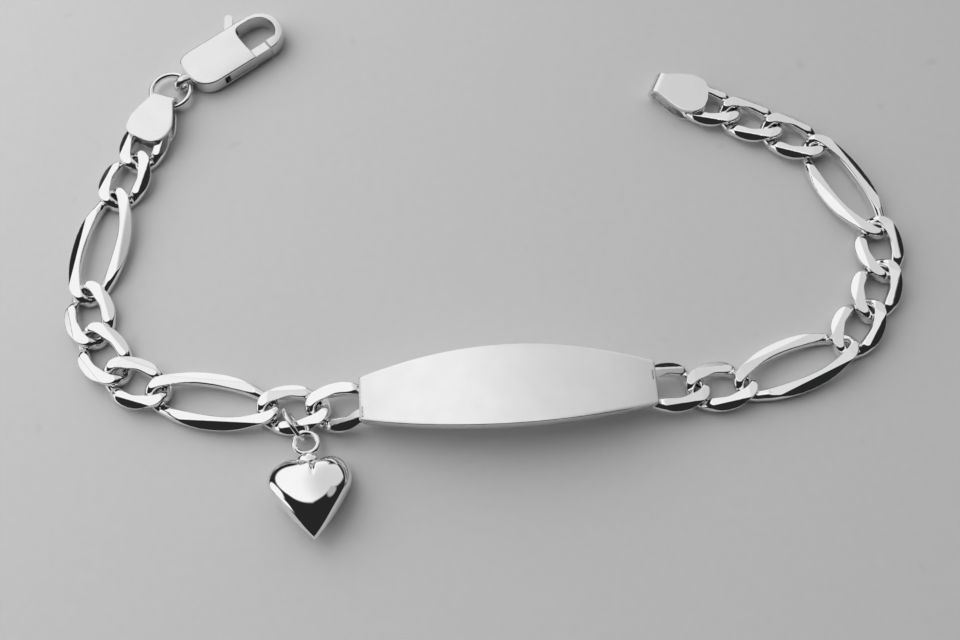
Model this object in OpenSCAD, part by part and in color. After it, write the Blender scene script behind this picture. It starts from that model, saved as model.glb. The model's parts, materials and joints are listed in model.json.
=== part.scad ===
// Identity bracelet: a curved name plate between two lengths of figaro chain, with a
// puffed heart charm, laid open on a flat surface with its lobster clasp undone.
// X runs along the plate, Y away from the wearer's side, and the chain rests on Z = 0.

/* [Chain] */
// Outside length of a small link
small_len = 7.9; // [7.5:0.05:8.3]
// Outside width of a small link
small_w = 4.6; // [4.5:0.05:4.9]
// Outside length of a long link
long_len = 14.55; // [13:0.05:17]
// Outside width of a long link
long_w = 5.2; // [4.7:0.1:5.7]
// Width of the link wire, seen from above
wire_w = 1.15; // [1.05:0.05:1.2]
// Height of the link wire before its flats are cut
wire_h = 1.02; // [0.9:0.02:1.06]
// Length of the rounded end of a link, from its straight sides to its tip
end_curve = 1.5; // [1.4:0.05:1.6]
// Thickness of the chain between its top and bottom flats
chain_t = 2.0; // [1.8:0.1:2.2]
// Height left free where two wires cross
cross_gap = 0.38; // [0.36:0.02:0.42]
// Slack of each joint along the chain
joint_slack = 0.45; // [0.4:0.05:0.55]

/* [Plate] */
// Length of the name plate
plate_l = 30.6; // [26:0.2:38]
// Width of the plate at its middle
plate_w = 8.3; // [7:0.1:11]
// Width of the plate at its ends
plate_end_w = 4.5; // [4.3:0.1:5.5]
// Thickness of the plate
plate_t = 1.5; // [1.2:0.1:1.8]
// Height of the plate's middle over its ends
plate_bow = 2.2; // [1.6:0.1:2.6]
// Distance from the plate's end to the middle of the link soldered to it
solder_reach = 1.88; // [1.7:0.02:2.1]
// How far that link sits to the wearer's side of the plate's middle line
solder_off = 0.3; // [0:0.05:0.35]
// Slope of that link, from the plate down to the chain
solder_slope = 12; // [9:0.5:14]
// How far that link runs on inside the plate
solder_depth = 0.6; // [0.4:0.1:0.9]
// Height of the plate's mid-thickness over the soldered link's
plate_seat = 0.2; // [0.1:0.05:0.3]
// Height of the plate's outer joints over the chain's mid-height
plate_joint_lift = 0.2; // [0.15:0.05:0.35]

/* [End tabs] */
// Length of a folded end tab
tab_l = 6.2; // [5.8:0.1:6.8]
// Width of the tab's round leaves
tab_w = 4.9; // [4.5:0.1:5.3]
// Width of the tab's neck at the fold
tab_neck_w = 2.2; // [1.8:0.1:2.6]
// Thickness of the sheet
tab_sheet = 0.45; // [0.35:0.05:0.5]
// Overall height of the folded tab
tab_h = 2.2; // [2.1:0.05:2.4]
// Length of the last link that the leaves cover
tab_cover = 3.7; // [3.2:0.1:4]

/* [Clasp] */
// Length of the clasp's body and claw
clasp_l = 12.95; // [12.4:0.05:14]
// Width of the clasp
clasp_w = 5.8; // [5.6:0.1:6.4]
// Thickness of the clasp
clasp_t = 2.1; // [2:0.05:2.4]
// Width of the claw's arm round the opening
claw_w = 0.95; // [0.8:0.05:1.1]
// Length of the opening inside the claw
claw_open = 4.15; // [3.9:0.05:4.5]
// Thickness of the plates above and below the lever
shell_t = 0.4; // [0.3:0.05:0.45]
// Clearance round the lever
lever_gap = 0.1; // [0.06:0.01:0.14]
// Radius of the pivot pin
pivot_r = 0.5; // [0.4:0.05:0.55]
// Clearance between the pin and the lever's bore
pivot_gap = 0.05; // [0.03:0.01:0.08]
// Furthest swing of the lever
lever_swing = 20; // [12:1:20]
// Outer diameter of the eye at the clasp's tail
eye_d = 2.1; // [2:0.05:2.3]
// Width of the eye across its hole
eye_w = 1.0; // [0.8:0.1:1.2]
// Direction of the clasp, from its tail to its tip
clasp_turn = 32; // [28:1:36]

/* [Rings] */
// Outer diameter of the clasp's jump ring
ring_d = 5.2; // [5:0.1:5.6]
// Wire of the clasp's jump ring
ring_wire = 0.65; // [0.55:0.05:0.7]
// Clearance of the clasp's jump ring in the tab's fold and in the eye
ring_gap = 0.15; // [0.1:0.01:0.18]
// Outer diameter of the charm's jump ring
charm_ring_d = 4.15; // [4.1:0.05:4.3]
// Wire of the charm's jump ring
charm_ring_wire = 0.45; // [0.4:0.01:0.48]
// Direction of the charm's jump ring, seen from above
charm_ring_turn = -61; // [-63:1:-59]
// Lean of the charm's jump ring from upright
charm_ring_lean = 10; // [8:0.5:12]

/* [Heart] */
// Width of the heart
heart_w = 8.1; // [7:0.1:9]
// Length of the heart from its lobes to its tip
heart_l = 8.5; // [7.4:0.1:9.4]
// Thickness of the heart
heart_t = 3.6; // [3.2:0.1:4]
// Outer diameter of the ring soldered to the heart
bail_d = 2.9; // [2.85:0.05:3.05]
// Wire of that ring
bail_wire = 0.52; // [0.46:0.02:0.54]
// Length of the neck between that ring and the heart's lobes
bail_neck = 0.2; // [0.15:0.05:0.6]
// Lift of the heart's tip as it lies
heart_tilt = 6; // [5.5:0.5:6.5]
// Direction of the heart, from its ring to its tip
heart_turn = -84.5; // [-90:0.5:-80]

/* [Hidden] */
$fn = 48;
SILVER = [0.86, 0.86, 0.87];
BRIGHT_SILVER = [0.93, 0.93, 0.94];

// The chain's route, walked outward from each end of the plate: one row for each link
KIND = 0;
HEADING = 1;
SMALL = 0;
LONG = 1;
LEFT_ROUTE = [
    [SMALL, 176], [LONG, 168], [SMALL, 152], [SMALL, 122],
    [SMALL, 100], [LONG, 79], [SMALL, 66], [SMALL, 70]
];
RIGHT_ROUTE = [
    [SMALL, 1], [LONG, 18], [SMALL, 50], [SMALL, 62], [SMALL, 87],
    [LONG, 115], [SMALL, 148], [SMALL, 152], [SMALL, 153]
];

// Links
END_STEPS = 6;
SIDE_STEPS = 2;
cross_share = 0.85;
rise_power = 0.55;
rise = (wire_h + cross_gap) / 2 / cross_share;
mid_z = chain_t / 2;

// Plate
plate_bow_r = (pow(plate_l / 2, 2) + pow(plate_bow, 2)) / 2 / plate_bow;
plate_bulge = (plate_w - plate_end_w) / 2;
plate_side_r = (pow(plate_l / 2, 2) + pow(plate_bulge, 2)) / 2 / plate_bulge;
joint_reach = solder_reach + pitch(SMALL) / 2;
plate_joint_x = plate_l / 2 + joint_reach * cos(solder_slope);
plate_joint_z = mid_z + plate_joint_lift;
plate_end_z = plate_joint_z + joint_reach * sin(solder_slope) + plate_seat;

// End tabs, in the frame of the link they hold
tab_in_x = small_len / 2 - tab_cover;
tab_out_x = tab_in_x + tab_l;
tab_fold_r = tab_h / 2;
tab_eye_r = tab_fold_r - tab_sheet;
tab_eye_x = tab_out_x - tab_fold_r;
leaf_r = tab_w / 2;
leaf_x = tab_in_x + leaf_r;
leaf_neck = [tab_out_x - leaf_x, tab_neck_w / 2];
leaf_side = leaf_r * unit(atan2(leaf_neck.y, leaf_neck.x) + acos(leaf_r / norm(leaf_neck)));
tab_eye_w = 2 * lookup(tab_eye_x - leaf_x, [leaf_side, leaf_neck]);

// Clasp, in a frame that starts at the tail of its body
clasp_r = clasp_w / 2;
claw_x = clasp_l - clasp_r;
open_r = clasp_r - claw_w;
open_end_x = clasp_l - claw_w;
open_start_x = open_end_x - claw_open;
slot_h = clasp_t - 2 * shell_t;
ring_mean_r = (ring_d - ring_wire) / 2;
lever_t = slot_h - 2 * lever_gap;
pivot_x = 4.5;
pivot_y = -1.2;
hub_r = 1.15;
hub_play = 0.25;
gate_lap = 0.35;
gate_inset = 0.2;
gate_end_x = claw_x + gate_lap;
gate_in_y = -open_r - lever_gap;
gate_out_y = -clasp_r + lever_gap;
gate_t = clasp_t - 2 * gate_inset;
cavity_x = pivot_x - hub_r - hub_play;
knob_x = 8.8;
knob_out = 1.35;
knob_y = clasp_r + knob_out;
knob_r = 0.65;
knob_arm_w = 0.9;
knob_arm_a = atan2(knob_y - pivot_y, knob_x - pivot_x);
knob_play = 2 * lever_gap;
knob_slot_start = arm_side_x(open_r, lever_swing, -1) - knob_play;
knob_slot_end = arm_side_x(clasp_r, 0, 1) + knob_play;
eye_hole_r = ring_wire / 2 + ring_gap + ring_sag(eye_w) / 2;
eye_x = -0.6;
eye_swing = 5;

// Heart
LOBE_STEPS = 7;
SIDE_PARTS = 7;
DOME_STEPS = 6;
widest_share = 0.4;
lobe_share = 0.47;
notch_share = 0.62;
crown_share = 0.43;
bail_mean_r = (bail_d - bail_wire) / 2;
heart_top_x = bail_d / 2 + bail_neck;

function unit(a) = [cos(a), sin(a)];
function turned(p, a) = [p.x * cos(a) - p.y * sin(a), p.x * sin(a) + p.y * cos(a)];
function clamp(v, limit) = max(-limit, min(limit, v));

// Distance between the two joints of a link
function link_len(kind) = kind == LONG ? long_len : small_len;
function link_w(kind) = kind == LONG ? long_w : small_w;
function pitch(kind) = link_len(kind) - 2 * wire_w - joint_slack;

// How far the clasp's jump ring bends away within a width
function ring_sag(w) = ring_mean_r - sqrt(pow(ring_mean_r, 2) - pow(w / 2, 2));

// Where a side of the knob's arm crosses the height y of the clasp at a swing of the lever
function arm_side_x(y, swing, side) =
    pivot_x + (y - pivot_y) / tan(knob_arm_a + swing) + side * knob_arm_w / 2 / sin(knob_arm_a + swing);

// Joint n of a route, and the middle of link n, counted from 1
function joint(route, start, n) =
    n == 0 ? start : joint(route, start, n - 1) + pitch(route[n - 1][KIND]) * unit(route[n - 1][HEADING]);
function middle(route, start, n) =
    joint(route, start, n - 1) + pitch(route[n - 1][KIND]) / 2 * unit(route[n - 1][HEADING]);

left_start = [-plate_joint_x, -solder_off];
right_start = [plate_joint_x, -solder_off];
left_tab_at = middle(LEFT_ROUTE, left_start, len(LEFT_ROUTE));
left_tab_turn = LEFT_ROUTE[len(LEFT_ROUTE) - 1][HEADING];

// Centre line of a link: a long loop whose right end is low on the far side and high on
// the near side, and whose left end is the other way round
function link_line(kind) =
    let (
        half_l = (link_len(kind) - wire_w) / 2,
        half_w = (link_w(kind) - wire_w) / 2,
        straight = half_l - end_curve,
        right = [for (i = [0 : END_STEPS - 1]) let (a = -90 + 180 * i / END_STEPS)
            [straight + end_curve * cos(a), half_w * sin(a)]],
        far = [for (i = [0 : SIDE_STEPS - 1]) [straight * (1 - 2 * i / SIDE_STEPS), half_w]]
    )
    [for (p = concat(right, far, -1 * right, -1 * far))
        let (side = sign(p.y) * pow(abs(p.y) / half_w, rise_power))
        [p.x, p.y, -rise * side * sin(90 * clamp(p.x / straight, 1))]];

// The wire's six-sided section: [outward, upward] as shares of its width and height
WIRE_SECTION = [[-0.5, 0], [-0.25, -0.5], [0.25, -0.5], [0.5, 0], [0.25, 0.5], [-0.25, 0.5]];

// Points of a link, with the flats cut level above and below
function link_points(kind) =
    let (line = link_line(kind), count = len(line))
    [for (i = [0 : count - 1])
        let (
            along = line[(i + 1) % count] - line[(i + count - 1) % count],
            out = [along.y, -along.x, 0] / norm([along.x, along.y]),
            up = cross(out, along) / -norm(along)
        )
        for (s = WIRE_SECTION)
            let (p = line[i] + s[0] * wire_w * out + s[1] * wire_h * up * sign(up.z))
            [p.x, p.y, clamp(p.z, chain_t / 2)]];

// Triangles between neighbouring rings of a closed sweep
function loop_faces(rings, sides) =
    [for (i = [0 : rings - 1], k = [0 : sides - 1])
        let (j = (i + 1) % rings, l = (k + 1) % sides)
        each [
            [i * sides + k, i * sides + l, j * sides + l],
            [i * sides + k, j * sides + l, j * sides + k]
        ]];

module link(kind) {
    polyhedron(link_points(kind), loop_faces(2 * (END_STEPS + SIDE_STEPS), len(WIRE_SECTION)));
}

// Outline of the heart, in a frame whose X runs from its lobes to its tip
function lobe_points() =
    let (notch_a = acos(-lobe_share / notch_share))
    [for (i = [0 : LOBE_STEPS])
        let (
            a = notch_a * (1 - i / LOBE_STEPS),
            reach = a > 90 ? notch_share : 1 - lobe_share
        )
        [heart_l * widest_share * (1 - sin(a)), heart_w / 2 * (lobe_share + reach * cos(a))]];
function side_points() =
    [for (i = [1 : SIDE_PARTS])
        let (s = i / SIDE_PARTS)
        [heart_l * (widest_share + (1 - widest_share) * s), heart_w / 2 * (1 - s * s)]];
function heart_outline() =
    let (half = concat(lobe_points(), side_points()))
    concat(half, [for (i = [len(half) - 2 : -1 : 1]) [half[i].x, -half[i].y]]);
heart_mid = [heart_l * crown_share, 0];

// Rings of the heart from its back to its front, then the two crowns
function heart_points() =
    let (outline = heart_outline())
    concat(
        [for (k = [1 - DOME_STEPS : DOME_STEPS - 1])
            let (a = 90 * k / DOME_STEPS)
            for (p = outline)
                let (q = heart_mid + (p - heart_mid) * cos(a))
                [q.x, q.y, heart_t / 2 * sin(a)]],
        [[heart_mid.x, heart_mid.y, -heart_t / 2], [heart_mid.x, heart_mid.y, heart_t / 2]]
    );
function heart_faces() =
    let (n = len(heart_outline()), rings = 2 * DOME_STEPS - 1, back = n * rings, front = back + 1)
    concat(
        [for (k = [0 : rings - 2], i = [0 : n - 1])
            let (j = (i + 1) % n)
            each [
                [k * n + i, k * n + j, (k + 1) * n + j],
                [k * n + i, (k + 1) * n + j, (k + 1) * n + i]
            ]],
        [for (i = [0 : n - 1]) [back, (i + 1) % n, i]],
        [for (i = [0 : n - 1]) [front, (rings - 1) * n + i, (rings - 1) * n + (i + 1) % n]]
    );

// The heart lies on its rounded back: its ring is as high as that back allows
heart_low = min([for (p = heart_points()) (p.x + heart_top_x) * sin(heart_tilt) + p.z * cos(heart_tilt)]);
bail_z = -heart_low;

// The charm's jump ring stands on edge through the first left link and the heart's ring
charm_link_at = middle(LEFT_ROUTE, left_start, 1);
charm_link_turn = LEFT_ROUTE[0][HEADING] - 180;
charm_ring_in_link = [0.36, -1.9];
bail_in_ring = [0.23, 0.02];
charm_ring_mean_r = (charm_ring_d - charm_ring_wire) / 2;
charm_ring_z = charm_ring_mean_r * cos(charm_ring_lean) + charm_ring_wire / 2;
charm_ring_at = charm_link_at + turned(charm_ring_in_link, charm_link_turn);
bail_at = charm_ring_at + turned([charm_ring_mean_r, 0] + bail_in_ring, charm_ring_turn);

// The clasp's jump ring lies level in the left tab's fold and carries the clasp's eye
ring_seat = ring_sag(tab_eye_w) + ring_wire / 2 + ring_gap - tab_eye_r;
ring_at = left_tab_at + (tab_eye_x - ring_seat + ring_mean_r) * unit(left_tab_turn);
ring_z = clasp_t / 2;
clasp_at = ring_at + (ring_mean_r - ring_sag(eye_w) / 2 - eye_x) * unit(clasp_turn + eye_swing);

// The middle of everything, seen from above
function link_extent(route, start, i) =
    [for (n = [1 : len(route)])
        for (p = link_points(route[n - 1][KIND]))
            middle(route, start, n)[i] + turned(p, route[n - 1][HEADING])[i]];
knob_top = clasp_at + turned([knob_x, knob_y], clasp_turn);
claw_top = clasp_at + turned([claw_x, 0], clasp_turn);
heart_tip = bail_at + (heart_top_x + heart_l) * cos(heart_tilt) * unit(heart_turn);
x_ends = concat(link_extent(LEFT_ROUTE, left_start, 0), link_extent(RIGHT_ROUTE, right_start, 0));
y_ends = concat(
    link_extent(LEFT_ROUTE, left_start, 1),
    [knob_top.y + knob_r, claw_top.y + clasp_r, heart_tip.y]
);
centre = [(min(x_ends) + max(x_ends)) / 2, (min(y_ends) + max(y_ends)) / 2];

module in_place(at, turn, z = 0) {
    translate([at.x - centre.x, at.y - centre.y, z]) rotate([0, 0, turn]) children();
}

// A plain ring of round wire, lying level
module wire_ring(outer_d, wire) {
    rotate_extrude() translate([(outer_d - wire) / 2, 0]) circle(d = wire);
}

// Link n of a route
module chain_link(route, start, n) {
    color(BRIGHT_SILVER) in_place(middle(route, start, n), route[n - 1][HEADING], mid_z)
        link(route[n - 1][KIND]);
}

// The link soldered to an end of the plate, in a frame that starts at that end, X outward
module soldered_link() {
    intersection() {
        translate([solder_reach, 0, 0]) link(SMALL);
        translate([-solder_depth, -small_w, -chain_t]) cube([small_len, 2 * small_w, 2 * chain_t]);
    }
}

module plate_blank() {
    top_z = plate_end_z + plate_bow + plate_t / 2;
    intersection() {
        translate([0, 0, top_z - plate_bow_r]) rotate([90, 0, 0]) difference() {
            cylinder(r = plate_bow_r, h = 2 * plate_w, center = true, $fn = 200);
            cylinder(r = plate_bow_r - plate_t, h = 3 * plate_w, center = true, $fn = 200);
        }
        linear_extrude(2 * top_z) intersection() {
            translate([0, plate_w / 2 - plate_side_r]) circle(plate_side_r, $fn = 200);
            translate([0, plate_side_r - plate_w / 2]) circle(plate_side_r, $fn = 200);
            square([plate_l, 2 * plate_w], center = true);
        }
    }
}

// The name plate with the half links soldered to its two ends: one solid
module id_plate() {
    color(BRIGHT_SILVER) in_place([0, 0], 0) union() {
        plate_blank();
        for (side = [-1, 1])
            translate([side * plate_l / 2, -solder_off, plate_end_z - plate_seat])
                rotate([0, 0, 90 - 90 * side]) rotate([0, solder_slope, 0]) soldered_link();
    }
}

// Pear shape of a tab's leaves: a round leaf whose sides run straight to the neck
module tab_outline() {
    translate([leaf_x, 0]) {
        circle(leaf_r);
        polygon([leaf_neck, leaf_side, [0, 0], [leaf_side.x, -leaf_side.y], [leaf_neck.x, -leaf_neck.y]]);
    }
}

// Side view of the folded sheet: two leaves and the fold that joins them
module tab_side() {
    difference() {
        union() {
            translate([tab_in_x, 0]) square([tab_eye_x - tab_in_x, tab_h]);
            translate([tab_eye_x, tab_fold_r]) circle(tab_fold_r);
        }
        translate([tab_in_x - 1, tab_sheet]) square([tab_eye_x - tab_in_x + 1, 2 * tab_eye_r]);
        translate([tab_eye_x, tab_fold_r]) circle(tab_eye_r);
    }
}

// The last link of a route with its tab folded over it and soldered: one solid
module end_tab(route, start) {
    n = len(route);
    color(SILVER) in_place(middle(route, start, n), route[n - 1][HEADING]) union() {
        translate([0, 0, mid_z]) link(SMALL);
        intersection() {
            linear_extrude(tab_h) tab_outline();
            translate([0, tab_w, 0]) rotate([90, 0, 0]) linear_extrude(2 * tab_w) tab_side();
        }
    }
}

module clasp_ring() {
    color(BRIGHT_SILVER) in_place(ring_at, 0, ring_z) wire_ring(ring_d, ring_wire);
}

module clasp_outline() {
    translate([clasp_r, 0]) circle(clasp_r);
    translate([clasp_r, -clasp_r]) square([claw_x - clasp_r, clasp_w]);
    translate([claw_x, 0]) circle(clasp_r);
}

// Opening of the claw, and the gap in its near arm that the gate closes
module clasp_opening() {
    translate([claw_x, 0]) circle(open_r);
    translate([open_start_x, -open_r]) square([claw_x - open_start_x, 2 * open_r]);
    translate([open_start_x, -clasp_w]) square([gate_end_x + lever_gap - open_start_x, clasp_w]);
}

// Hollow of the body that the lever swings in, open along the near side and at the knob
module clasp_cavity() {
    translate([cavity_x, -clasp_w]) square([open_start_x + lever_gap - cavity_x, clasp_w + open_r]);
    translate([knob_slot_start, 0]) square([knob_slot_end - knob_slot_start, clasp_w]);
}

// The clasp's body and claw with the pivot pin riveted in and the eye at its tail: one solid
module clasp_body() {
    color(SILVER) in_place(clasp_at, clasp_turn) {
        difference() {
            linear_extrude(clasp_t) clasp_outline();
            translate([0, 0, -1]) linear_extrude(clasp_t + 2) clasp_opening();
            translate([0, 0, shell_t]) linear_extrude(slot_h) clasp_cavity();
        }
        translate([pivot_x, pivot_y, shell_t / 2]) cylinder(r = pivot_r, h = clasp_t - shell_t);
        difference() {
            union() {
                translate([eye_x, eye_w / 2, clasp_t / 2]) rotate([90, 0, 0]) cylinder(d = eye_d, h = eye_w);
                translate([eye_x, -eye_w / 2, clasp_t / 2 - eye_d / 2]) cube([-eye_x + claw_w, eye_w, eye_d]);
            }
            translate([eye_x, eye_w, clasp_t / 2]) rotate([90, 0, 0]) cylinder(r = eye_hole_r, h = 2 * eye_w);
        }
    }
}

// The sprung lever: a hub on the pin, the gate that closes the claw and the thumb knob
module clasp_lever() {
    color(SILVER) in_place(clasp_at, clasp_turn) difference() {
        union() {
            translate([0, 0, shell_t + lever_gap]) linear_extrude(lever_t) {
                translate([pivot_x, pivot_y]) circle(hub_r);
                polygon([
                    [pivot_x, gate_out_y], [gate_end_x - lever_gap, gate_out_y],
                    [gate_end_x - lever_gap, gate_in_y], [pivot_x, pivot_y + hub_r]
                ]);
                knob_arm();
            }
            translate([open_start_x + lever_gap, gate_out_y, (clasp_t - gate_t) / 2])
                cube([gate_end_x - open_start_x - 2 * lever_gap, gate_in_y - gate_out_y, gate_t]);
            translate([knob_x, knob_y, shell_t + lever_gap]) cylinder(r = knob_r, h = lever_t);
        }
        translate([pivot_x, pivot_y, -1]) cylinder(r = pivot_r + pivot_gap, h = clasp_t + 2);
    }
}

// Arm from the hub to the knob
module knob_arm() {
    translate([pivot_x, pivot_y]) rotate(knob_arm_a)
        translate([0, -knob_arm_w / 2]) square([norm([knob_x - pivot_x, knob_y - pivot_y]), knob_arm_w]);
}

module charm_ring() {
    color(BRIGHT_SILVER) in_place(charm_ring_at, charm_ring_turn, charm_ring_z)
        rotate([90 + charm_ring_lean, 0, 0]) wire_ring(charm_ring_d, charm_ring_wire);
}

// The hollow heart with its ring soldered between the lobes: one solid
module heart_charm() {
    color(BRIGHT_SILVER) in_place(bail_at, heart_turn, bail_z) rotate([0, -heart_tilt, 0]) {
        wire_ring(bail_d, bail_wire);
        translate([bail_mean_r, 0, 0]) rotate([0, 90, 0])
            cylinder(d = bail_wire, h = heart_top_x + heart_mid.x / 2 - bail_mean_r);
        translate([heart_top_x, 0, 0]) polyhedron(heart_points(), heart_faces());
    }
}

id_plate();
for (n = [1 : len(LEFT_ROUTE) - 1])
    chain_link(LEFT_ROUTE, left_start, n);
end_tab(LEFT_ROUTE, left_start);  // left_end_tab
for (n = [1 : len(RIGHT_ROUTE) - 1])
    chain_link(RIGHT_ROUTE, right_start, n);
end_tab(RIGHT_ROUTE, right_start);  // right_end_tab
clasp_ring();
clasp_body();
clasp_lever();
charm_ring();
heart_charm();
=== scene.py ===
"""Silver identity bracelet of figaro chain, laid open with a puffed heart charm.

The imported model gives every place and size. This script dresses it: the wire and the flats
cut on it, the plate, the folded tabs, the clasp, the rings and the heart, each in silver.
"""

import json
import math

import bpy
from mathutils import Matrix, Vector


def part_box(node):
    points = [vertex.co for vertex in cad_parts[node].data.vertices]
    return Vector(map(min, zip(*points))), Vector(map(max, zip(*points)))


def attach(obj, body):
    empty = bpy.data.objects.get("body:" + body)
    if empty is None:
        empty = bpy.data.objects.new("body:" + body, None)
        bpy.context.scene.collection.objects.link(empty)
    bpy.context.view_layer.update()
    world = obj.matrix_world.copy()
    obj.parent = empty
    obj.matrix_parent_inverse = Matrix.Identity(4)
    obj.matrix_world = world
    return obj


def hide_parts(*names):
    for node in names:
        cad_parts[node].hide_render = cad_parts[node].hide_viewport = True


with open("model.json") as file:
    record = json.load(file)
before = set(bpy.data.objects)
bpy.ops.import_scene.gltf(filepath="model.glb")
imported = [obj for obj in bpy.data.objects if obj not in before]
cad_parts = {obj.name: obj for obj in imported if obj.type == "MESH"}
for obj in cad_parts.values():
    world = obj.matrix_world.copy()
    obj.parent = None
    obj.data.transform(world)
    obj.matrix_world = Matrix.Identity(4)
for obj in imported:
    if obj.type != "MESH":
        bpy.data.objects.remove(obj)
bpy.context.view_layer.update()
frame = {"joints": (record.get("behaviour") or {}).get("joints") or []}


# View. The bracelet lies on a pale surface and is seen from in front and well above,
# from about a hand's length away.
look_at = Vector((-0.00105, -0.0095, 0.001))
heading = math.radians(3.5)
look_down = math.radians(67.5)
view_distance = 0.1177
sight = Vector(
    (
        math.cos(look_down) * math.sin(heading),
        math.cos(look_down) * math.cos(heading),
        -math.sin(look_down),
    )
)
camera_data = bpy.data.cameras.new("camera")
camera_data.lens = 41.25
camera_data.sensor_width = 36
camera_data.clip_start = 0.002
camera = bpy.data.objects.new("camera", camera_data)
camera.location = look_at - view_distance * sight
camera.rotation_euler = sight.to_track_quat("-Z", "Y").to_euler()
bpy.context.scene.collection.objects.link(camera)
bpy.context.scene.camera = camera


# Light. A broad soft panel hangs behind and above the bracelet, with lit walls below and
# beside it, and a small window stands low on the left. The rest of the room is dark, which
# gives cut silver its blacks. A lamp that the silver doesn't mirror lights the surface.
DARK_ROOM = 0.02
PANEL_LIGHT = 0.95
PANEL_FADE = 0.3
SIDE_WALL_LIGHT = 0.45
PANE_LIGHT = 0.95
BACKDROP_LIGHT = 0.5
FILL_LIGHT = 0.43
FILL_SIZE = 0.35
FILL_AT = Vector((-0.17, 0.08, 0.13))


class Signal:
    """A node's output. Arithmetic on it adds Math nodes, and node() adds any other kind."""

    def __init__(self, tree, socket=None):
        self.tree = tree
        self.socket = socket

    def node(self, kind, inputs, output=0, **settings):
        made = self.tree.nodes.new(kind)
        for name, value in settings.items():
            setattr(made, name, value)
        for key, value in inputs.items():
            if isinstance(value, Signal):
                self.tree.links.new(value.socket, made.inputs[key])
            else:
                made.inputs[key].default_value = value
        return Signal(self.tree, made.outputs[output])

    def math(self, operation, first, second):
        return self.node("ShaderNodeMath", {0: first, 1: second}, operation=operation)

    def or_brighter(self, other):
        return self.math("MAXIMUM", self, other)

    def feed(self, shader, name):
        self.tree.links.new(self.socket, shader.inputs[name])

    def __add__(self, other):
        return self.math("ADD", self, other)

    def __radd__(self, other):
        return self.math("ADD", other, self)

    def __sub__(self, other):
        return self.math("SUBTRACT", self, other)

    def __rsub__(self, other):
        return self.math("SUBTRACT", other, self)

    def __mul__(self, other):
        return self.math("MULTIPLY", self, other)

    def __rmul__(self, other):
        return self.math("MULTIPLY", other, self)


def aim(azimuth, elevation):
    """A direction, from degrees round from +X and degrees up."""
    a, e = math.radians(azimuth), math.radians(elevation)
    return Vector((math.cos(e) * math.cos(a), math.cos(e) * math.sin(a), math.sin(e)))


studio = bpy.data.worlds.new("studio")
studio.use_nodes = True
bpy.context.scene.world = studio
room = Signal(studio.node_tree)
toward = room.node("ShaderNodeTexCoord", {}, output="Generated")


def glow(azimuth, elevation, radius, edge):
    """A soft round patch of light: 1 inside its radius, and 0 past the edge round that, all
    in degrees."""
    facing = room.node(
        "ShaderNodeVectorMath",
        {0: toward, 1: aim(azimuth, elevation)},
        output="Value",
        operation="DOT_PRODUCT",
    )
    return room.node(
        "ShaderNodeMapRange",
        {
            "Value": facing,
            "From Min": math.cos(math.radians(radius + edge)),
            "From Max": math.cos(math.radians(radius)),
        },
        interpolation_type="SMOOTHSTEP",
    )


panel = glow(95, 52, 41, 4)
low_panel = glow(50, 30, 20, 6)
far_wall = glow(90, 22, 18, 6)
side_wall = glow(15, 45, 8, 6)
window = glow(173, 21, 17, 4)
window_low = glow(199, 14, 10, 5)
right_fade = glow(40, 40, 12, 40)
lit = panel.or_brighter(low_panel).or_brighter(far_wall)
lit = lit * (PANEL_LIGHT - PANEL_FADE * right_fade)
lit = lit.or_brighter(SIDE_WALL_LIGHT * side_wall)
panes = window.or_brighter(window_low)
strength = DARK_ROOM + lit.or_brighter(PANE_LIGHT * panes)
seen_direct = room.node("ShaderNodeLightPath", {}, output="Is Camera Ray")
backdrop = BACKDROP_LIGHT * seen_direct + (1 - seen_direct) * strength
shown = studio.node_tree.nodes["Background"]
backdrop.feed(shown, "Strength")
shown.inputs["Color"].default_value = (1, 1, 1, 1)

fill = bpy.data.lights.new("soft_fill", "AREA")
fill.shape = "DISK"
fill.size = FILL_SIZE
fill.energy = FILL_LIGHT
fill_lamp = bpy.data.objects.new("soft_fill", fill)
fill_lamp.location = FILL_AT
fill_lamp.rotation_euler = (-FILL_AT).to_track_quat("-Z", "Y").to_euler()
fill_lamp.visible_glossy = False
bpy.context.scene.collection.objects.link(fill_lamp)
bpy.context.scene.view_settings.view_transform = "Standard"


# Surface. A sheet of pale matt card, with the faint mottle and specks of its pulp.
CARD_TONE = (0.72, 0.72, 0.72)
SPECK_TONE = (0.64, 0.64, 0.64)


def blend(share, first, second):
    """A colour between two, as far along as the share says. The node's sockets 6 and 7 are its
    colours, and its output 2 is the one for them."""
    return share.node(
        "ShaderNodeMix",
        {"Factor": share, 6: (*first, 1), 7: (*second, 1)},
        output=2,
        data_type="RGBA",
    )


bpy.ops.mesh.primitive_plane_add(size=3)
surface = bpy.context.object
surface.name = "pale_card"
card = bpy.data.materials.new("pale_card")
card.use_nodes = True
pulp = Signal(card.node_tree)
on_card = pulp.node("ShaderNodeTexCoord", {}, output="Object")
mottle = pulp.node("ShaderNodeTexNoise", {"Vector": on_card, "Scale": 900, "Detail": 4})
specks = pulp.node("ShaderNodeTexNoise", {"Vector": on_card, "Scale": 300, "Detail": 1})
speckled = pulp.node("ShaderNodeMapRange", {"Value": specks, "From Min": 0.74, "From Max": 0.8})
card_tone = blend(mottle * 0.5 + speckled * 0.5, CARD_TONE, SPECK_TONE)
card_bump = pulp.node("ShaderNodeBump", {"Height": mottle, "Strength": 0.15, "Distance": 0.00005})
card_shader = card.node_tree.nodes["Principled BSDF"]
card_tone.feed(card_shader, "Base Color")
card_bump.feed(card_shader, "Normal")
card_shader.inputs["Roughness"].default_value = 0.85
card_shader.inputs["Specular IOR Level"].default_value = 0.2
surface.data.materials.append(card)


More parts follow.
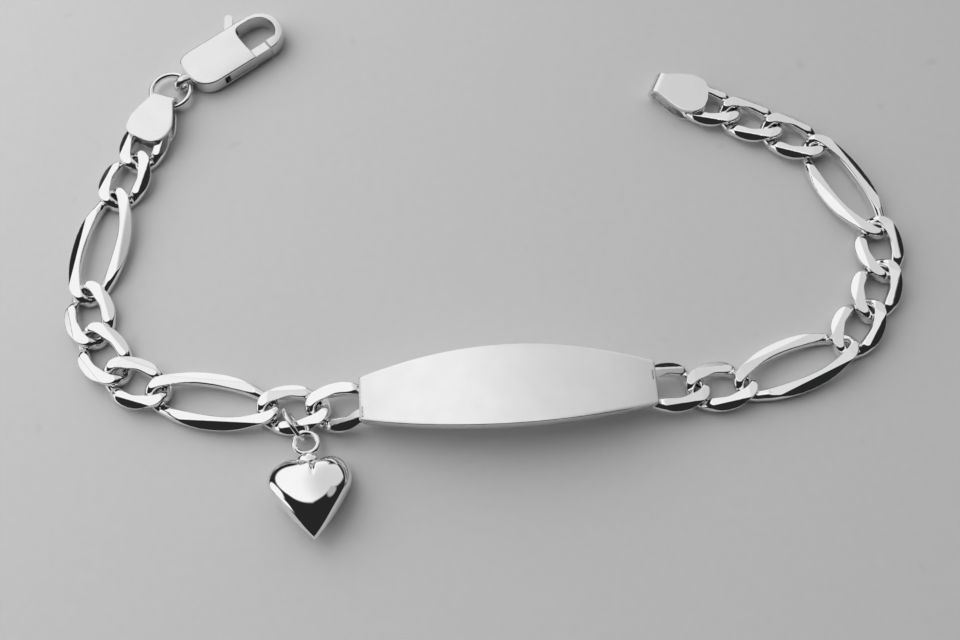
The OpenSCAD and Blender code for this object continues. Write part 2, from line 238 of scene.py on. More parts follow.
# Chain. Oval links of stout silver wire, each twisted so that it lies flat against its
# neighbours. The finished chain was cut with a diamond: level above and below, and on a
# slope along both sides, so every link carries bright commas and dark lens-shaped flats.
MM = 0.001
LINK_LENGTH = {"small": 7.9 * MM, "long": 14.55 * MM}
LINK_WIDTH = {"small": 4.8 * MM, "long": 5.5 * MM}
JOINT_INSET = 2.75 * MM
WIRE_WIDTH = 1.25 * MM
WIRE_HEIGHT = 1.42 * MM
WIRE_SQUARE = 2.3
WIRE_SWELL = 0.32 * MM
SWELL_REACH = {"small": 2.2 * MM, "long": 4.6 * MM}
OVAL = 2.1
SHOULDER = 1.5 * MM
SIDE_CREST = 1.2
EVEN_TWIST = 0.3
CHAIN_HALF = 1.0 * MM
LINK_RISE = 0.84 * MM
TOP_CUT_FROM = {"small": -2.7 * MM, "long": -5.8 * MM}
TOP_CUT_TO = {"small": 1.3 * MM, "long": 3.8 * MM}
TOP_CUT_FALL = {"small": 0.15, "long": 0.075}
SIDE_CUT = math.radians(28)
SIDE_CUT_OUT = {"small": 0.22 * MM, "long": 0.12 * MM}
SIDE_CUT_FALL = {"small": 0.08, "long": 0.03}
STEPS_ROUND = {"small": 220, "long": 340}
WIRE_SIDES = 56
FINE_STEPS = 2400


def silver(name, colour, shine, grain=0.0, waves=0.0):
    """Sterling silver: a mirror with handling marks, lines of polishing and soft waves."""
    metal = bpy.data.materials.new(name)
    metal.use_nodes = True
    shader = metal.node_tree.nodes["Principled BSDF"]
    shader.inputs["Metallic"].default_value = 1.0
    start = Signal(metal.node_tree)
    place = start.node("ShaderNodeTexCoord", {}, output="Object")
    smudge = start.node("ShaderNodeTexNoise", {"Vector": place, "Scale": 420, "Detail": 3})
    stretched = start.node("ShaderNodeMapping", {"Vector": place, "Scale": (900, 16000, 9000)})
    lines = start.node("ShaderNodeTexNoise", {"Vector": stretched, "Scale": 1.0, "Detail": 2})
    swell = start.node("ShaderNodeTexNoise", {"Vector": place, "Scale": 650, "Detail": 1})
    tone = blend(smudge * 0.6, colour, [0.9 * c for c in colour])
    rough = shine + smudge * (0.5 * shine) + lines * (0.3 * grain)
    height = lines * grain + swell * waves
    relief = start.node("ShaderNodeBump", {"Height": height, "Strength": 0.4, "Distance": 0.00002})
    tone.feed(shader, "Base Color")
    rough.feed(shader, "Roughness")
    relief.feed(shader, "Normal")
    return metal


chain_silver = silver("chain_silver", (0.95, 0.95, 0.955), 0.05, grain=0.1, waves=0.3)


def rotation(degrees, axis, size=4):
    return Matrix.Rotation(math.radians(degrees), size, axis)


def turn_and_place(piece, at, turn, slope=0.0):
    """Puts a piece that was modelled at the origin where it belongs, inside its mesh."""
    piece.data.transform(Matrix.Translation(at) @ rotation(turn, "Z") @ rotation(slope, "Y"))


def take_up(*pieces):
    """Selects these pieces only, with the last one active."""
    bpy.ops.object.select_all(action="DESELECT")
    for piece in pieces:
        piece.select_set(True)
    bpy.context.view_layer.objects.active = pieces[-1]


def smooth_by_angle(piece, degrees):
    take_up(piece)
    bpy.ops.object.shade_smooth_by_angle(angle=math.radians(degrees))


def hand_over(piece, name, body, slot, *nodes):
    """Names a finished piece, puts it under its body and hides the nodes that it stands for."""
    piece.name = name
    piece.data.name = name
    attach(piece, body)
    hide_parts(*nodes)


def oval_point(size, angle):
    """A point of a link's wire: an oval in plan, low then high along each side."""
    half_l = (LINK_LENGTH[size] - WIRE_WIDTH) / 2
    half_w = (LINK_WIDTH[size] - WIRE_WIDTH) / 2
    c, s = math.cos(angle), math.sin(angle)
    x = half_l * math.copysign(abs(c) ** (2 / OVAL), c)
    y = half_w * math.copysign(abs(s) ** (2 / OVAL), s)
    share = y / half_w
    side = (1 + SIDE_CREST) * share / (1 + SIDE_CREST * abs(share))
    along = max(-1.0, min(1.0, x / (half_l - SHOULDER)))
    twist = EVEN_TWIST * along + (1 - EVEN_TWIST) * along**3
    return Vector((x, y, -LINK_RISE * side * twist))


def even_points(size, count):
    """Points of the wire at even distances round the link."""
    fine = [oval_point(size, math.tau * i / FINE_STEPS) for i in range(FINE_STEPS + 1)]
    run = [0.0]
    for before, after in zip(fine, fine[1:]):
        run.append(run[-1] + (after - before).length)
    points, at = [], 0
    for i in range(count):
        goal = run[-1] * i / count
        while run[at + 1] < goal:
            at += 1
        points.append(fine[at].lerp(fine[at + 1], (goal - run[at]) / (run[at + 1] - run[at])))
    return points


def link_cuts(size):
    """The planes of the diamond's cuts, a level-looking one and a sloping one for each wire,
    above and below, with how far along the wire each goes."""
    middle = Vector((0, (LINK_WIDTH[size] - WIRE_WIDTH) / 2, 0))
    fall = TOP_CUT_FALL[size]
    top = Vector((fall, 0, 1)).normalized()
    top_at = Vector((TOP_CUT_FROM[size], 0, CHAIN_HALF))
    side = Vector((SIDE_CUT_FALL[size], math.sin(SIDE_CUT), math.cos(SIDE_CUT))).normalized()
    side_at = middle + Vector((0, SIDE_CUT_OUT[size], CHAIN_HALF + fall * TOP_CUT_FROM[size]))
    cuts = []
    for normal, at, end in (
        (side, side_at, (LINK_LENGTH[size] - JOINT_INSET) / 2),
        (top, top_at, TOP_CUT_TO[size]),
    ):
        for x in (-1, 1):
            for y in (-1, 1):
                turned = Vector((x * normal.x, y * normal.y, x * y * normal.z))
                cuts.append((turned, normal.dot(at), x, y, end))
    return cuts


def make_link(size):
    """A plain ring of round wire, laid out along the link's oval, squared a little, swollen
    at the outside of its long sides and then cut."""
    ring_r, wire_r = 2 * MM, 0.5 * MM
    steps = STEPS_ROUND[size]
    bpy.ops.mesh.primitive_torus_add(
        major_segments=steps, minor_segments=WIRE_SIDES, major_radius=ring_r, minor_radius=wire_r
    )
    link = bpy.context.object
    points = even_points(size, steps)
    cuts = link_cuts(size)
    for vertex in link.data.vertices:
        turn = math.atan2(vertex.co.y, vertex.co.x) / math.tau
        at = round(turn * steps) % steps
        out = (math.hypot(vertex.co.x, vertex.co.y) - ring_r) / wire_r
        up = vertex.co.z / wire_r
        square = (abs(out) ** WIRE_SQUARE + abs(up) ** WIRE_SQUARE) ** (-1 / WIRE_SQUARE)
        along = points[(at + 1) % steps] - points[at - 1]
        outward = Vector((along.y, -along.x, 0)).normalized()
        upward = outward.cross(along).normalized()
        if upward.z < 0:
            upward = -upward
        swell = max(0.0, 1 - (points[at].x / SWELL_REACH[size]) ** 2)
        half_wire = WIRE_WIDTH / 2 + (WIRE_SWELL * swell if out > 0 else 0)
        place = points[at] + square * (half_wire * out * outward + WIRE_HEIGHT / 2 * up * upward)
        for normal, limit, x, y, end in cuts:
            over = normal.dot(place) - limit
            if over > 0 and y * points[at].y > 0 and x * points[at].x < end:
                place -= over * normal
        place.z = max(-CHAIN_HALF, min(CHAIN_HALF, place.z))
        vertex.co = place
    smooth_by_angle(link, 60)
    link.data.materials.append(chain_silver)
    return link


def copy_of(pattern):
    """A copy with a mesh of its own."""
    twin = bpy.data.objects.new(pattern.name, pattern.data.copy())
    bpy.context.scene.collection.objects.link(twin)
    return twin


def middle_of(node):
    low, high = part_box(node)
    return (Vector(low) + Vector(high)) / 2


def half_step(size, turn):
    """Half the way from joint to joint of a link, along its heading."""
    return (LINK_LENGTH[size] - JOINT_INSET) / 2 * aim(turn, 0)


# Each side's links from the plate outward, with their headings in degrees. The last link of
# each side is soldered into its end tab.
LEFT = [
    ("small", 176), ("long", 168), ("small", 152), ("small", 122),
    ("small", 100), ("long", 79), ("small", 66), ("small", 70),
]
RIGHT = [
    ("small", 1), ("long", 18), ("small", 50), ("small", 62), ("small", 87),
    ("long", 115), ("small", 148), ("small", 152), ("small", 153),
]
patterns = {"small": make_link("small"), "long": make_link("long")}
last_link = {}
for side, route in (("left", LEFT), ("right", RIGHT)):
    for number, (size, turn) in enumerate(route[:-1], start=1):
        node = f"{side}_link_{number}"
        link = copy_of(patterns[size])
        turn_and_place(link, middle_of(node), turn)
        hand_over(link, f"{side}_chain_link_{number}", "bracelet", "chain", node)
    last_joint = middle_of(f"{side}_link_{len(route) - 1}") + half_step(*route[-2])
    last_link[side] = last_joint + half_step(*route[-1])


# Name plate. A sheet of silver bowed to the wrist, wide in the middle and square at its
# ends, filed bright along its edge and left with a fine satin on top. It is bare. A link cut
# in half is soldered into each end.
PLATE_LENGTH = 30.6 * MM
PLATE_WIDTH = 8.45 * MM
PLATE_END = 4.6 * MM
PLATE_THICK = 1.5 * MM
PLATE_BOW = 2.2 * MM
PLATE_BEVEL = 0.08 * MM
SOLDER_REACH = 1.88 * MM
SOLDER_OFF = 0.3 * MM
SOLDER_LOW = 0.2 * MM
SOLDER_SLOPE = 12
SOLDER_DEPTH = 0.6 * MM
SHARP_EDGE = math.radians(50)

plate_silver = silver("plate_silver", (0.93, 0.93, 0.935), 0.16, grain=0.25)
plate_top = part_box("id_plate")[1][2]
plate_at = middle_of("id_plate")


def arc_drop(along, reach, fall):
    """How far an arc has fallen at a distance from its middle, when it falls so far at its end."""
    radius = (reach * reach + fall * fall) / (2 * fall)
    return radius - math.sqrt(radius * radius - along * along)


def finish_with(piece, kind, **settings):
    """Adds a modifier of this kind with these settings, and applies it."""
    change = piece.modifiers.new(kind.lower(), kind)
    for name, value in settings.items():
        setattr(change, name, value)
    take_up(piece)
    bpy.ops.object.modifier_apply(modifier=change.name)


def bevel(piece, width, segments, angle_limit, **settings):
    limits = {"limit_method": "ANGLE", "angle_limit": angle_limit}
    finish_with(piece, "BEVEL", width=width, segments=segments, **limits, **settings)


def cut_flat(piece, point, normal):
    """Cuts away what lies beyond a plane and closes the cut with a flat face."""
    take_up(piece)
    bpy.ops.object.mode_set(mode="EDIT")
    bpy.ops.mesh.select_all(action="SELECT")
    bpy.ops.mesh.bisect(plane_co=point, plane_no=normal, use_fill=True, clear_outer=True)
    bpy.ops.object.mode_set(mode="OBJECT")


def join(*pieces):
    """Joins pieces into the last of them."""
    take_up(*pieces)
    bpy.ops.object.join()


bpy.ops.mesh.primitive_grid_add(x_subdivisions=96, y_subdivisions=16, size=1)
plate = bpy.context.object
bulge = (PLATE_WIDTH - PLATE_END) / 2
for vertex in plate.data.vertices:
    x = vertex.co.x * PLATE_LENGTH
    half = PLATE_WIDTH / 2 - arc_drop(x, PLATE_LENGTH / 2, bulge)
    z = plate_top - arc_drop(x, PLATE_LENGTH / 2, PLATE_BOW)
    vertex.co = (plate_at.x + x, plate_at.y + 2 * half * vertex.co.y, z)
finish_with(plate, "SOLIDIFY", thickness=PLATE_THICK, offset=-1)
bevel(plate, PLATE_BEVEL, 3, SHARP_EDGE)
smooth_by_angle(plate, 30)
plate.data.materials.append(plate_silver)

plate_end_z = plate_top - PLATE_BOW - PLATE_THICK / 2 - SOLDER_LOW
for side in (-1, 1):
    half_link = copy_of(patterns["small"])
    half_link.data.transform(Matrix.Translation((SOLDER_REACH, 0, 0)))
    cut_flat(half_link, (-SOLDER_DEPTH, 0, 0), (-1, 0, 0))
    at = Vector((plate_at.x + side * PLATE_LENGTH / 2, plate_at.y - SOLDER_OFF, plate_end_z))
    turn_and_place(half_link, at, 90 - 90 * side, SOLDER_SLOPE)
    join(half_link, plate)
plate.data.validate()
hand_over(plate, "bowed_plate", "bracelet", "plate", "id_plate")


# End tabs. A pear-shaped strip of thin sheet is folded over the last link of each side and
# soldered there. Its fold makes the loop for the clasp, and its leaves end at a slight slant.
TAB_LENGTH = 6.7 * MM
TAB_WIDTH = 5.0 * MM
TAB_NECK = 2.7 * MM
TAB_SHEET = 0.45 * MM
TAB_HEIGHT = 2.2 * MM
TAB_BEVEL = 0.09 * MM
TAB_RAISE = 0.1 * MM
NECK_EASE = 1.3
LEAF_ROUND = 2.2
LEAF_SLANT = 0.4 * MM
WELD = 0.01 * MM

tab_silver = silver("tab_silver", (0.89, 0.89, 0.895), 0.2, grain=0.08, waves=0.25)


def make_tab(cover, corner, blunt):
    """A folded tab that covers so much of its link. Its leaves are round, and blunter at one
    corner, +1 or -1."""
    start = LINK_LENGTH["small"] / 2 - cover
    fold_r = (TAB_HEIGHT - TAB_SHEET) / 2
    fold_half = math.pi * fold_r / 2
    fold_x = start + TAB_LENGTH - TAB_HEIGHT / 2
    leaf = fold_x - start
    strip = 2 * leaf + 2 * fold_half
    leaf_r = TAB_WIDTH / 2
    bpy.ops.mesh.primitive_grid_add(x_subdivisions=120, y_subdivisions=16, size=1)
    tab = bpy.context.object
    for vertex in tab.data.vertices:
        run = vertex.co.x * strip
        flat = max(0.0, abs(run) - fold_half)
        ahead = leaf - flat - leaf_r
        tip = max(0.0, -ahead / leaf_r)
        if ahead < 0:
            square = blunt if corner * vertex.co.y > 0 else LEAF_ROUND
            half = leaf_r * max(0.0, 1 - tip**square) ** (1 / square)
        else:
            ease = min(1.0, ahead / (leaf - leaf_r)) ** NECK_EASE
            half = leaf_r + (TAB_NECK / 2 - leaf_r) * ease
        bend = max(-1.0, min(1.0, run / fold_half)) * math.pi / 2
        across = 2 * vertex.co.y * half
        slant = LEAF_SLANT * corner * across / leaf_r * tip**2
        x = fold_x + fold_r * math.cos(bend) - flat + slant
        vertex.co = (x, across, fold_r * math.sin(bend))
    bpy.ops.object.mode_set(mode="EDIT")
    bpy.ops.mesh.select_all(action="SELECT")
    bpy.ops.mesh.remove_doubles(threshold=WELD)
    bpy.ops.object.mode_set(mode="OBJECT")
    finish_with(tab, "SOLIDIFY", thickness=TAB_SHEET, offset=0)
    bevel(tab, TAB_BEVEL, 2, SHARP_EDGE)
    smooth_by_angle(tab, 35)
    tab.data.materials.append(tab_silver)
    return tab


for side, route, cover, corner, blunt in (
    ("left", LEFT, 4.2 * MM, 1, 4.0),
    ("right", RIGHT, 3.6 * MM, -1, 2.6),
):
    size, turn = route[-1]
    link = copy_of(patterns[size])
    tab = make_tab(cover, corner, blunt)
    turn_and_place(link, last_link[side], turn)
    turn_and_place(tab, last_link[side] + Vector((0, 0, TAB_RAISE)), turn)
    join(link, tab)
    hand_over(tab, f"{side}_folded_tab", "bracelet", "tab", f"{side}_end_tab")


# Jump rings. Short turns of round wire bent closed: one carries the clasp, and a finer one
# hangs the charm. The two cut ends meet with a hairline between them.
RING_WIRE = 0.65 * MM
RING_OUTER = 5.2 * MM
RING_SHIFT = Vector((0.1 * MM, 0.06 * MM, 0))
CHARM_RING_WIRE = 0.45 * MM
CHARM_RING_OUTER = 4.15 * MM
CHARM_RING_TURN = -61
CHARM_RING_LEAN = 10
ring_silver = silver("ring_silver", (0.94, 0.94, 0.945), 0.07, waves=0.15)


def make_ring(outer, wire, gap_at):
    """A ring of wire with its cut at so many degrees round, each cut end closed."""
    bpy.ops.mesh.primitive_torus_add(
        major_segments=144,
        minor_segments=20,
        major_radius=(outer - wire) / 2,
        minor_radius=wire / 2,
    )
    ring = bpy.context.object
    bpy.ops.object.mode_set(mode="EDIT")
    bpy.ops.mesh.select_all(action="DESELECT")
    bpy.ops.object.mode_set(mode="OBJECT")
    for face in ring.data.polygons:
        around = math.degrees(math.atan2(face.center.y, face.center.x)) - gap_at
        face.select = abs((around + 180) % 360 - 180) < 1.0
    bpy.ops.object.mode_set(mode="EDIT")
    bpy.ops.mesh.select_mode(type="FACE")
    bpy.ops.mesh.delete(type="FACE")
    bpy.ops.mesh.select_mode(type="VERT")
    bpy.ops.mesh.select_all(action="SELECT")
    bpy.ops.mesh.fill_holes(sides=0)
    bpy.ops.object.mode_set(mode="OBJECT")
    smooth_by_angle(ring, 40)
    ring.data.materials.append(ring_silver)
    return ring


clasp_ring = make_ring(RING_OUTER, RING_WIRE, 205)
turn_and_place(clasp_ring, middle_of("clasp_ring") + RING_SHIFT, 0)
hand_over(clasp_ring, "clasp_jump_ring", "bracelet", "ring", "clasp_ring")

charm_ring = make_ring(CHARM_RING_OUTER, CHARM_RING_WIRE, 150)
charm_ring.data.transform(rotation(90 + CHARM_RING_LEAN, "X"))
turn_and_place(charm_ring, middle_of("charm_ring"), CHARM_RING_TURN)
hand_over(charm_ring, "charm_jump_ring", "bracelet", "ring", "charm_ring")


# Clasp. A lobster claw cast in silver: a rounded shell with a hooked arm round its mouth,
# a slot for the lever, a riveted pin, and an upright eye at the tail for the jump ring.
# Its tail and mouth are squarer than round: a near or far value of 2 would be a half circle.
CLASP_LENGTH = 12.75 * MM
CLASP_R = 2.85 * MM
CLASP_THICK = 2.1 * MM
CLASP_CROWN = 0.2
CROWN_POWER = 6
CLASP_TURN = 35
TAIL_NEAR = 2.3
TAIL_FAR = 3.8
CAST_GRAIN = 0.06 * MM
CAST_PASSES = 16
CLAW_ARM = 0.8 * MM
CLAW_NEAR = 1.25 * MM
CLAW_OPEN = 4.3 * MM
MOUTH_NEAR = 5
MOUTH_FAR = 3
MOUTH_REACH = 0.5
GAP_IN = 0.04 * MM
GAP_OVER = 0.2 * MM
SHELL = 0.4 * MM
SLOT_START = 3.3 * MM
GATE_WAY_START = 4 * MM
GATE_WAY_EDGE = -0.5 * MM
KNOB_WAY_START = 4.85 * MM
KNOB_WAY_END = 8.15 * MM
CUT_OUT = 4 * MM
CUT_LOW = -1 * MM
CUT_HIGH = 3 * MM
PIN = Vector((4.6 * MM, -1.3 * MM, 0))
PIN_R = 0.5 * MM
PIN_SINK = 0.05 * MM
PIN_ROUND = 0.08 * MM
EYE_X = -0.78 * MM
EYE_R = 0.72 * MM
EYE_WIRE_R = 0.36 * MM
EYE_LONG = 1.25
EYE_BROAD = 1.6
NECK_START = 0.78 * MM
NECK_END = 0.9 * MM
NECK_HALF_WIDTH = 0.42 * MM
NECK_LOW = 0.45 * MM
NECK_HIGH = 1.65 * MM
NECK_ROUND = 0.18 * MM
CAST_EDGE = math.radians(40)
clasp_silver = silver("clasp_silver", (0.86, 0.86, 0.865), 0.17, grain=0.05, waves=0.3)
hinge = Vector(frame["joints"][0]["pos_m"])
clasp_at = hinge - rotation(CLASP_TURN, "Z", 3) @ PIN
clasp_at.z = 0
claw_x = CLASP_LENGTH - CLASP_R
open_r = CLASP_R - CLAW_ARM
open_end = CLASP_LENGTH - CLAW_ARM
open_start = open_end - CLAW_OPEN
mouth_near = CLAW_NEAR - CLASP_R


def long_round(radius, start, end, low, high, near, far, reach=1.0):
    """A block with round ends: a short cylinder whose half is drawn out along X. The end at
    the start can be blunt, more on one side than on the other, and shallow."""
    bpy.ops.mesh.primitive_cylinder_add(
        vertices=128, radius=radius, depth=high - low, location=(0, 0, (low + high) / 2)
    )
    block = bpy.context.object
    bpy.ops.object.transform_apply(location=True)
    for vertex in block.data.vertices:
        x, y = vertex.co.x / radius, vertex.co.y / radius
        if x > 1e-6:
            vertex.co.x += end
        else:
            blunt = 2 / (far if y > 0 else near)
            vertex.co.x = start - reach * radius * abs(x) ** blunt
            vertex.co.y = math.copysign(radius * abs(y) ** blunt, y)
    return block


def box_block(low, high):
    bpy.ops.mesh.primitive_cube_add(size=1)
    block = bpy.context.object
    for vertex in block.data.vertices:
        vertex.co = [low[i] + (vertex.co[i] + 0.5) * (high[i] - low[i]) for i in range(3)]
    return block


def upright_bar(radius, depth, at, sides=48):
    """An upright round bar, halfway up the clasp."""
    bpy.ops.mesh.primitive_cylinder_add(
        vertices=sides, radius=radius, depth=depth, location=(at.x, at.y, CLASP_THICK / 2)
    )
    bpy.ops.object.transform_apply(location=True)
    return bpy.context.object


def shape_with(piece, tool, operation):
    """Joins or cuts one solid with another, and drops the other."""
    finish_with(piece, "BOOLEAN", operation=operation, solver="EXACT", object=tool)
    bpy.data.objects.remove(tool, do_unlink=True)


def cast_smooth(piece, grain, passes):
    """Works a piece over like cast metal: an even fine mesh, with every edge worn round."""
    finish_with(piece, "REMESH", mode="VOXEL", voxel_size=grain, use_smooth_shade=True)
    finish_with(piece, "SMOOTH", factor=0.5, iterations=passes)


def round_edges(piece, width, segments):
    take_up(piece)
    bpy.ops.object.shade_smooth()
    bevel(piece, width, segments, CAST_EDGE, harden_normals=True)


clasp = long_round(CLASP_R, CLASP_R, claw_x, 0, CLASP_THICK, TAIL_NEAR, TAIL_FAR)
mouth_start = open_start + MOUTH_REACH * open_r
mouth = long_round(
    open_r, mouth_start, claw_x, CUT_LOW, CUT_HIGH, MOUTH_NEAR, MOUTH_FAR, MOUTH_REACH
)
for vertex in mouth.data.vertices:
    vertex.co.y = max(vertex.co.y, mouth_near)
shape_with(clasp, mouth, "DIFFERENCE")
slot_low, slot_high = SHELL, CLASP_THICK - SHELL
for low, high in (
    # The gap in the claw's near side, which the lever's gate shuts
    ((open_start + GAP_IN, -CUT_OUT, CUT_LOW), (claw_x, mouth_near + GAP_OVER, CUT_HIGH)),
    # The slot that the lever lies in
    ((SLOT_START, -CUT_OUT, slot_low), (open_start - SHELL, open_r, slot_high)),
    # The way from that slot to the gate
    ((GATE_WAY_START, -CUT_OUT, slot_low), (open_start + SHELL, GATE_WAY_EDGE, slot_high)),
    # The way out through the far wall for the lever's knob
    ((KNOB_WAY_START, 0, slot_low), (KNOB_WAY_END, CUT_OUT, slot_high)),
):
    shape_with(clasp, box_block(low, high), "DIFFERENCE")
cast_smooth(clasp, CAST_GRAIN, CAST_PASSES)
for vertex in clasp.data.vertices:
    past = max(0.0, vertex.co.x - claw_x, CLASP_R - vertex.co.x)
    tail_square = TAIL_FAR if vertex.co.y > 0 else TAIL_NEAR
    square = 2.0 if vertex.co.x > CLASP_R else tail_square
    out = (past**square + abs(vertex.co.y) ** square) ** (1 / square) / CLASP_R
    crown = 1 - CLASP_CROWN * min(1.0, out) ** CROWN_POWER
    vertex.co.z = CLASP_THICK / 2 + (vertex.co.z - CLASP_THICK / 2) * crown

pin = upright_bar(PIN_R, CLASP_THICK - 2 * PIN_SINK, PIN)
round_edges(pin, PIN_ROUND, 2)
bpy.ops.mesh.primitive_torus_add(
    major_segments=64, minor_segments=24, major_radius=EYE_R, minor_radius=EYE_WIRE_R
)
eye = bpy.context.object
for vertex in eye.data.vertices:
    x, y, z = vertex.co
    vertex.co = (EYE_X + EYE_LONG * x, EYE_BROAD * z, CLASP_THICK / 2 + y)
smooth_by_angle(eye, 35)
neck = box_block(
    (EYE_X + NECK_START, -NECK_HALF_WIDTH, NECK_LOW), (NECK_END, NECK_HALF_WIDTH, NECK_HIGH)
)
round_edges(neck, NECK_ROUND, 3)
join(pin, eye, neck, clasp)
clasp.data.materials.clear()
clasp.data.materials.append(clasp_silver)
turn_and_place(clasp, clasp_at, CLASP_TURN)
hand_over(clasp, "lobster_shell", "bracelet", "clasp", "clasp_body")


# Lever. The sprung tongue inside the shell: a hub on the pin, a gate that shuts the mouth,
# and an arm out through the far wall to a small round knob for the thumbnail.
LEVER_GAP = 0.1 * MM
LEVER_TAIL = 0.6 * MM
LEVER_BEVEL = 0.08 * MM
GATE_PLAY = 0.22 * MM
GATE_LOW = 0.2 * MM
GATE_SINK = 0.05 * MM
HUB_R = 1.15 * MM
TAIL_SHARE = 0.8
BORE_R = 0.55 * MM
ARM_HALF_WIDTH = 0.45 * MM
KNOB = Vector((8.35 * MM, 4.15 * MM, 0))
KNOB_R = 0.46 * MM
HAIR = 0.001 * MM
lever_low = SHELL + LEVER_GAP
lever_high = CLASP_THICK - lever_low


def prism(points, low, high):
    """A flat piece with straight sides: a filled ring of corners drawn up."""
    bpy.ops.mesh.primitive_circle_add(vertices=len(points), radius=MM, fill_type="NGON")
    block = bpy.context.object
    for vertex, point in zip(block.data.vertices, points):
        vertex.co = (point[0], point[1], low)
    bpy.ops.object.mode_set(mode="EDIT")
    bpy.ops.mesh.select_all(action="SELECT")
    bpy.ops.mesh.extrude_region_move(TRANSFORM_OT_translate={"value": (0, 0, high - low)})
    bpy.ops.mesh.select_all(action="SELECT")
    bpy.ops.mesh.normals_make_consistent(inside=False)
    bpy.ops.object.mode_set(mode="OBJECT")
    return block


gate_out = LEVER_GAP - CLASP_R
gate_in = mouth_near - GATE_SINK
gate_start = open_start + LEVER_GAP
gate_end = claw_x - GATE_PLAY
lever_tail = PIN.x - LEVER_TAIL
gate_edge = [(gate_end, gate_out), (gate_end, gate_in), (gate_start, gate_in)]
tail_top = (lever_tail, PIN.y + TAIL_SHARE * HUB_R)
lever = prism([(lever_tail, gate_out), *gate_edge, tail_top], lever_low, lever_high)
shape_with(lever, upright_bar(HUB_R, lever_high - lever_low - 2 * HAIR, PIN, 64), "UNION")
arm_way = (KNOB - PIN).normalized()
arm_side = Vector((-arm_way.y, arm_way.x, 0)) * ARM_HALF_WIDTH
arm_corners = [PIN - arm_side, KNOB - arm_side, KNOB + arm_side, PIN + arm_side]
shape_with(lever, prism(arm_corners, lever_low + HAIR, lever_high - HAIR), "UNION")
gate = prism([(gate_start, gate_out), *gate_edge], GATE_LOW, CLASP_THICK - GATE_LOW)
shape_with(lever, gate, "UNION")
shape_with(lever, upright_bar(KNOB_R, lever_high - lever_low, KNOB), "UNION")
shape_with(lever, upright_bar(BORE_R, 2 * CLASP_THICK, PIN), "DIFFERENCE")
round_edges(lever, LEVER_BEVEL, 3)
lever.data.materials.clear()
lever.data.materials.append(clasp_silver)
turn_and_place(lever, clasp_at, CLASP_TURN)
hand_over(lever, "sprung_lever", "lever", "clasp", "clasp_lever")


# Heart charm. Two thin stamped halves are soldered rim to rim into a hollow puffed heart,
# with a short crease below the notch. A small closed ring stands on top in a blob of solder.
HEART_WIDTH = 8.3 * MM
HEART_LENGTH = 8.5 * MM
HEART_THICK = 3.6 * MM
HEART_LOBE = 2.3 * MM
LOBE_SHARE = 0.62
SIDE_BULGE = 0.5 * MM
CROWN_AT = 0.4
CROWN_LONG = 0.42
CROWN_WIDE = 0.44
CREASE_LENGTH = 1.6 * MM
CREASE_WIDTH = 0.2 * MM
CREASE_DEPTH = 0.24 * MM
RIM = 0.05 * MM
BAIL_OUTER = 3.0 * MM
BAIL_WIRE = 0.66 * MM
BAIL_NECK = 0.2 * MM
BAIL_OFF = Vector((0.26 * MM, 0.1 * MM, 0))
BLOB_IN = 0.2 * MM
BLOB = Vector((0.85 * MM, 1.15 * MM, 0.65 * MM))
HEART_TILT = 6
HEART_ROLL = -7
NOTCH_OFF = 0.45 * MM
HEART_TURN = -84.5
heart_silver = silver("heart_silver", (0.96, 0.96, 0.965), 0.035, waves=0.12)
heart_top = BAIL_OUTER / 2 + BAIL_NECK
heart_mid_x = HEART_LENGTH * CROWN_AT
lobe_side = HEART_WIDTH / 2 - HEART_LOBE
notch_x = HEART_LOBE - math.sqrt(HEART_LOBE**2 - lobe_side**2)
notch_turn = math.atan2(-lobe_side, notch_x - HEART_LOBE) % math.tau
tip_way = math.hypot(HEART_LENGTH - HEART_LOBE, lobe_side)
lobe_end = math.acos(HEART_LOBE / tip_way) - math.atan2(lobe_side, HEART_LENGTH - HEART_LOBE)


def lobe_point(turn):
    return HEART_LOBE * (1 + math.cos(turn)), lobe_side + HEART_LOBE * math.sin(turn)


def heart_edge(share):
    """A point of the heart's outline: from the notch, round one lobe, and on to the tip along
    a side with a slight bulge."""
    if share < LOBE_SHARE:
        return lobe_point(notch_turn + (lobe_end - notch_turn) * share / LOBE_SHARE)
    s = (share - LOBE_SHARE) / (1 - LOBE_SHARE)
    x, y = lobe_point(lobe_end)
    bulge = SIDE_BULGE * s * (1 - s)
    return x + (HEART_LENGTH - x) * s + bulge * math.sin(lobe_end), y * (1 - s) + bulge


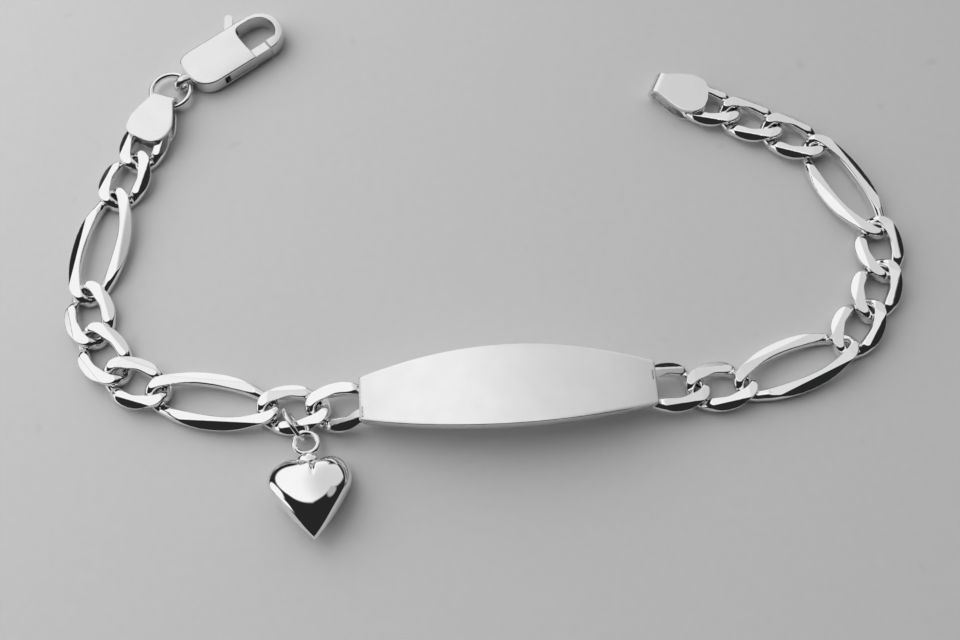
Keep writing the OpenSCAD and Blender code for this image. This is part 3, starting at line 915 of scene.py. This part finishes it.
def heart_point(x, y, z):
    """Where a point of the unit ball goes: its widest ring goes to the heart's outline, with
    the soldered rim standing out there, and its crowns go to a plain oval."""
    around = math.atan2(y, -x) / math.pi
    edge_x, edge_y = heart_edge(abs(around))
    edge_y = math.copysign(edge_y, around)
    spread = math.hypot(x, y)
    soft = 1 - spread**5
    oval_x = -math.cos(around * math.pi) * HEART_LENGTH * CROWN_LONG
    oval_y = math.sin(around * math.pi) * HEART_WIDTH * CROWN_WIDE
    px = (edge_x - heart_mid_x) * (1 - soft) + oval_x * soft
    py = edge_y * (1 - soft) + oval_y * soft
    out_x, out_y = heart_mid_x + px * spread, py * spread
    off = NOTCH_OFF * (1 - out_x / HEART_LENGTH) * (1 - (2 * out_y / HEART_WIDTH) ** 2)
    creased = max(0.0, 1 - max(0.0, out_x - notch_x) / CREASE_LENGTH)
    creased *= math.exp(-((out_y / CREASE_WIDTH) ** 2))
    height = HEART_THICK / 2 * z
    height -= math.copysign(min(abs(height), CREASE_DEPTH * creased), height)
    rim = Vector((px, py, 0)).normalized() * (RIM if abs(z) < 0.01 else 0)
    return Vector((heart_top + out_x, out_y + off, height)) + rim


bpy.ops.mesh.primitive_uv_sphere_add(segments=192, ring_count=72, radius=1)
heart = bpy.context.object
for vertex in heart.data.vertices:
    vertex.co = heart_point(*vertex.co)
smooth_by_angle(heart, 50)
bpy.ops.mesh.primitive_torus_add(
    major_segments=96,
    minor_segments=20,
    major_radius=(BAIL_OUTER - BAIL_WIRE) / 2,
    minor_radius=BAIL_WIRE / 2,
)
bail = bpy.context.object
smooth_by_angle(bail, 40)
bpy.ops.mesh.primitive_uv_sphere_add(segments=32, ring_count=16, radius=1)
blob = bpy.context.object
for vertex in blob.data.vertices:
    vertex.co = Vector((heart_top + BLOB_IN, 0, 0)) + vertex.co * BLOB
smooth_by_angle(blob, 40)
join(bail, blob, heart)
heart.data.materials.append(heart_silver)
heart.data.transform(rotation(-HEART_TILT, "Y") @ rotation(HEART_ROLL, "X"))
ring_half = Vector(((CHARM_RING_OUTER - CHARM_RING_WIRE) / 2, 0, 0))
bail_at = middle_of("charm_ring") + rotation(CHARM_RING_TURN, "Z", 3) @ (ring_half + BAIL_OFF)
bail_at.z = -min(vertex.co.z for vertex in heart.data.vertices)
turn_and_place(heart, bail_at, HEART_TURN)
hand_over(heart, "puffed_heart", "bracelet", "heart", "heart_charm")

for pattern in patterns.values():
    bpy.data.objects.remove(pattern, do_unlink=True)
